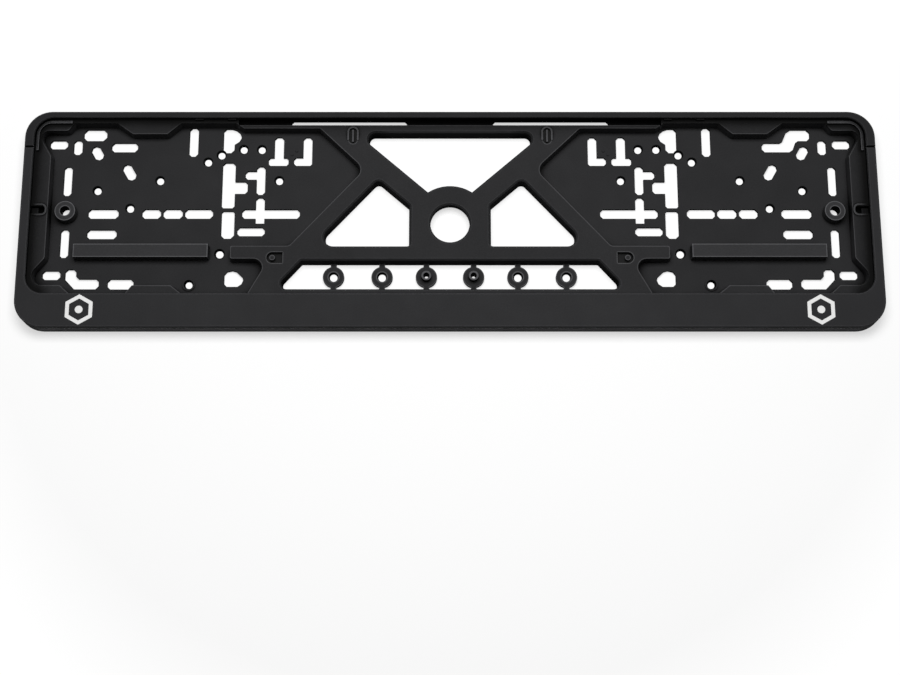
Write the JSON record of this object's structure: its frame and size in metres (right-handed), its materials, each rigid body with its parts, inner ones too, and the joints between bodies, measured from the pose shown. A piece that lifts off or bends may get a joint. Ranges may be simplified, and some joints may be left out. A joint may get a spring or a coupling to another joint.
{
  "type": "number plate holder",
  "caption": "Long flat number plate holder: slotted base plate with a raised cross truss and round hub, and a clip-on front frame with a wide lower strip.",
  "frame": {"origin": "middle of the back plane that the holder lies on, under the centre of its outline", "axes": "+X to the right along the number plate, +Y towards the plate's upper edge, +Z out of the front face"},
  "size_m": [0.532, 0.14, 0.012],
  "materials": {
    "base_plate": "fine-grained black plastic",
    "front_frame": "fine-grained black plastic"
  },
  "bodies": {
    "root": {"base_plate": "base_plate", "front_frame": "front_frame"}
  },
  "joints": []
}
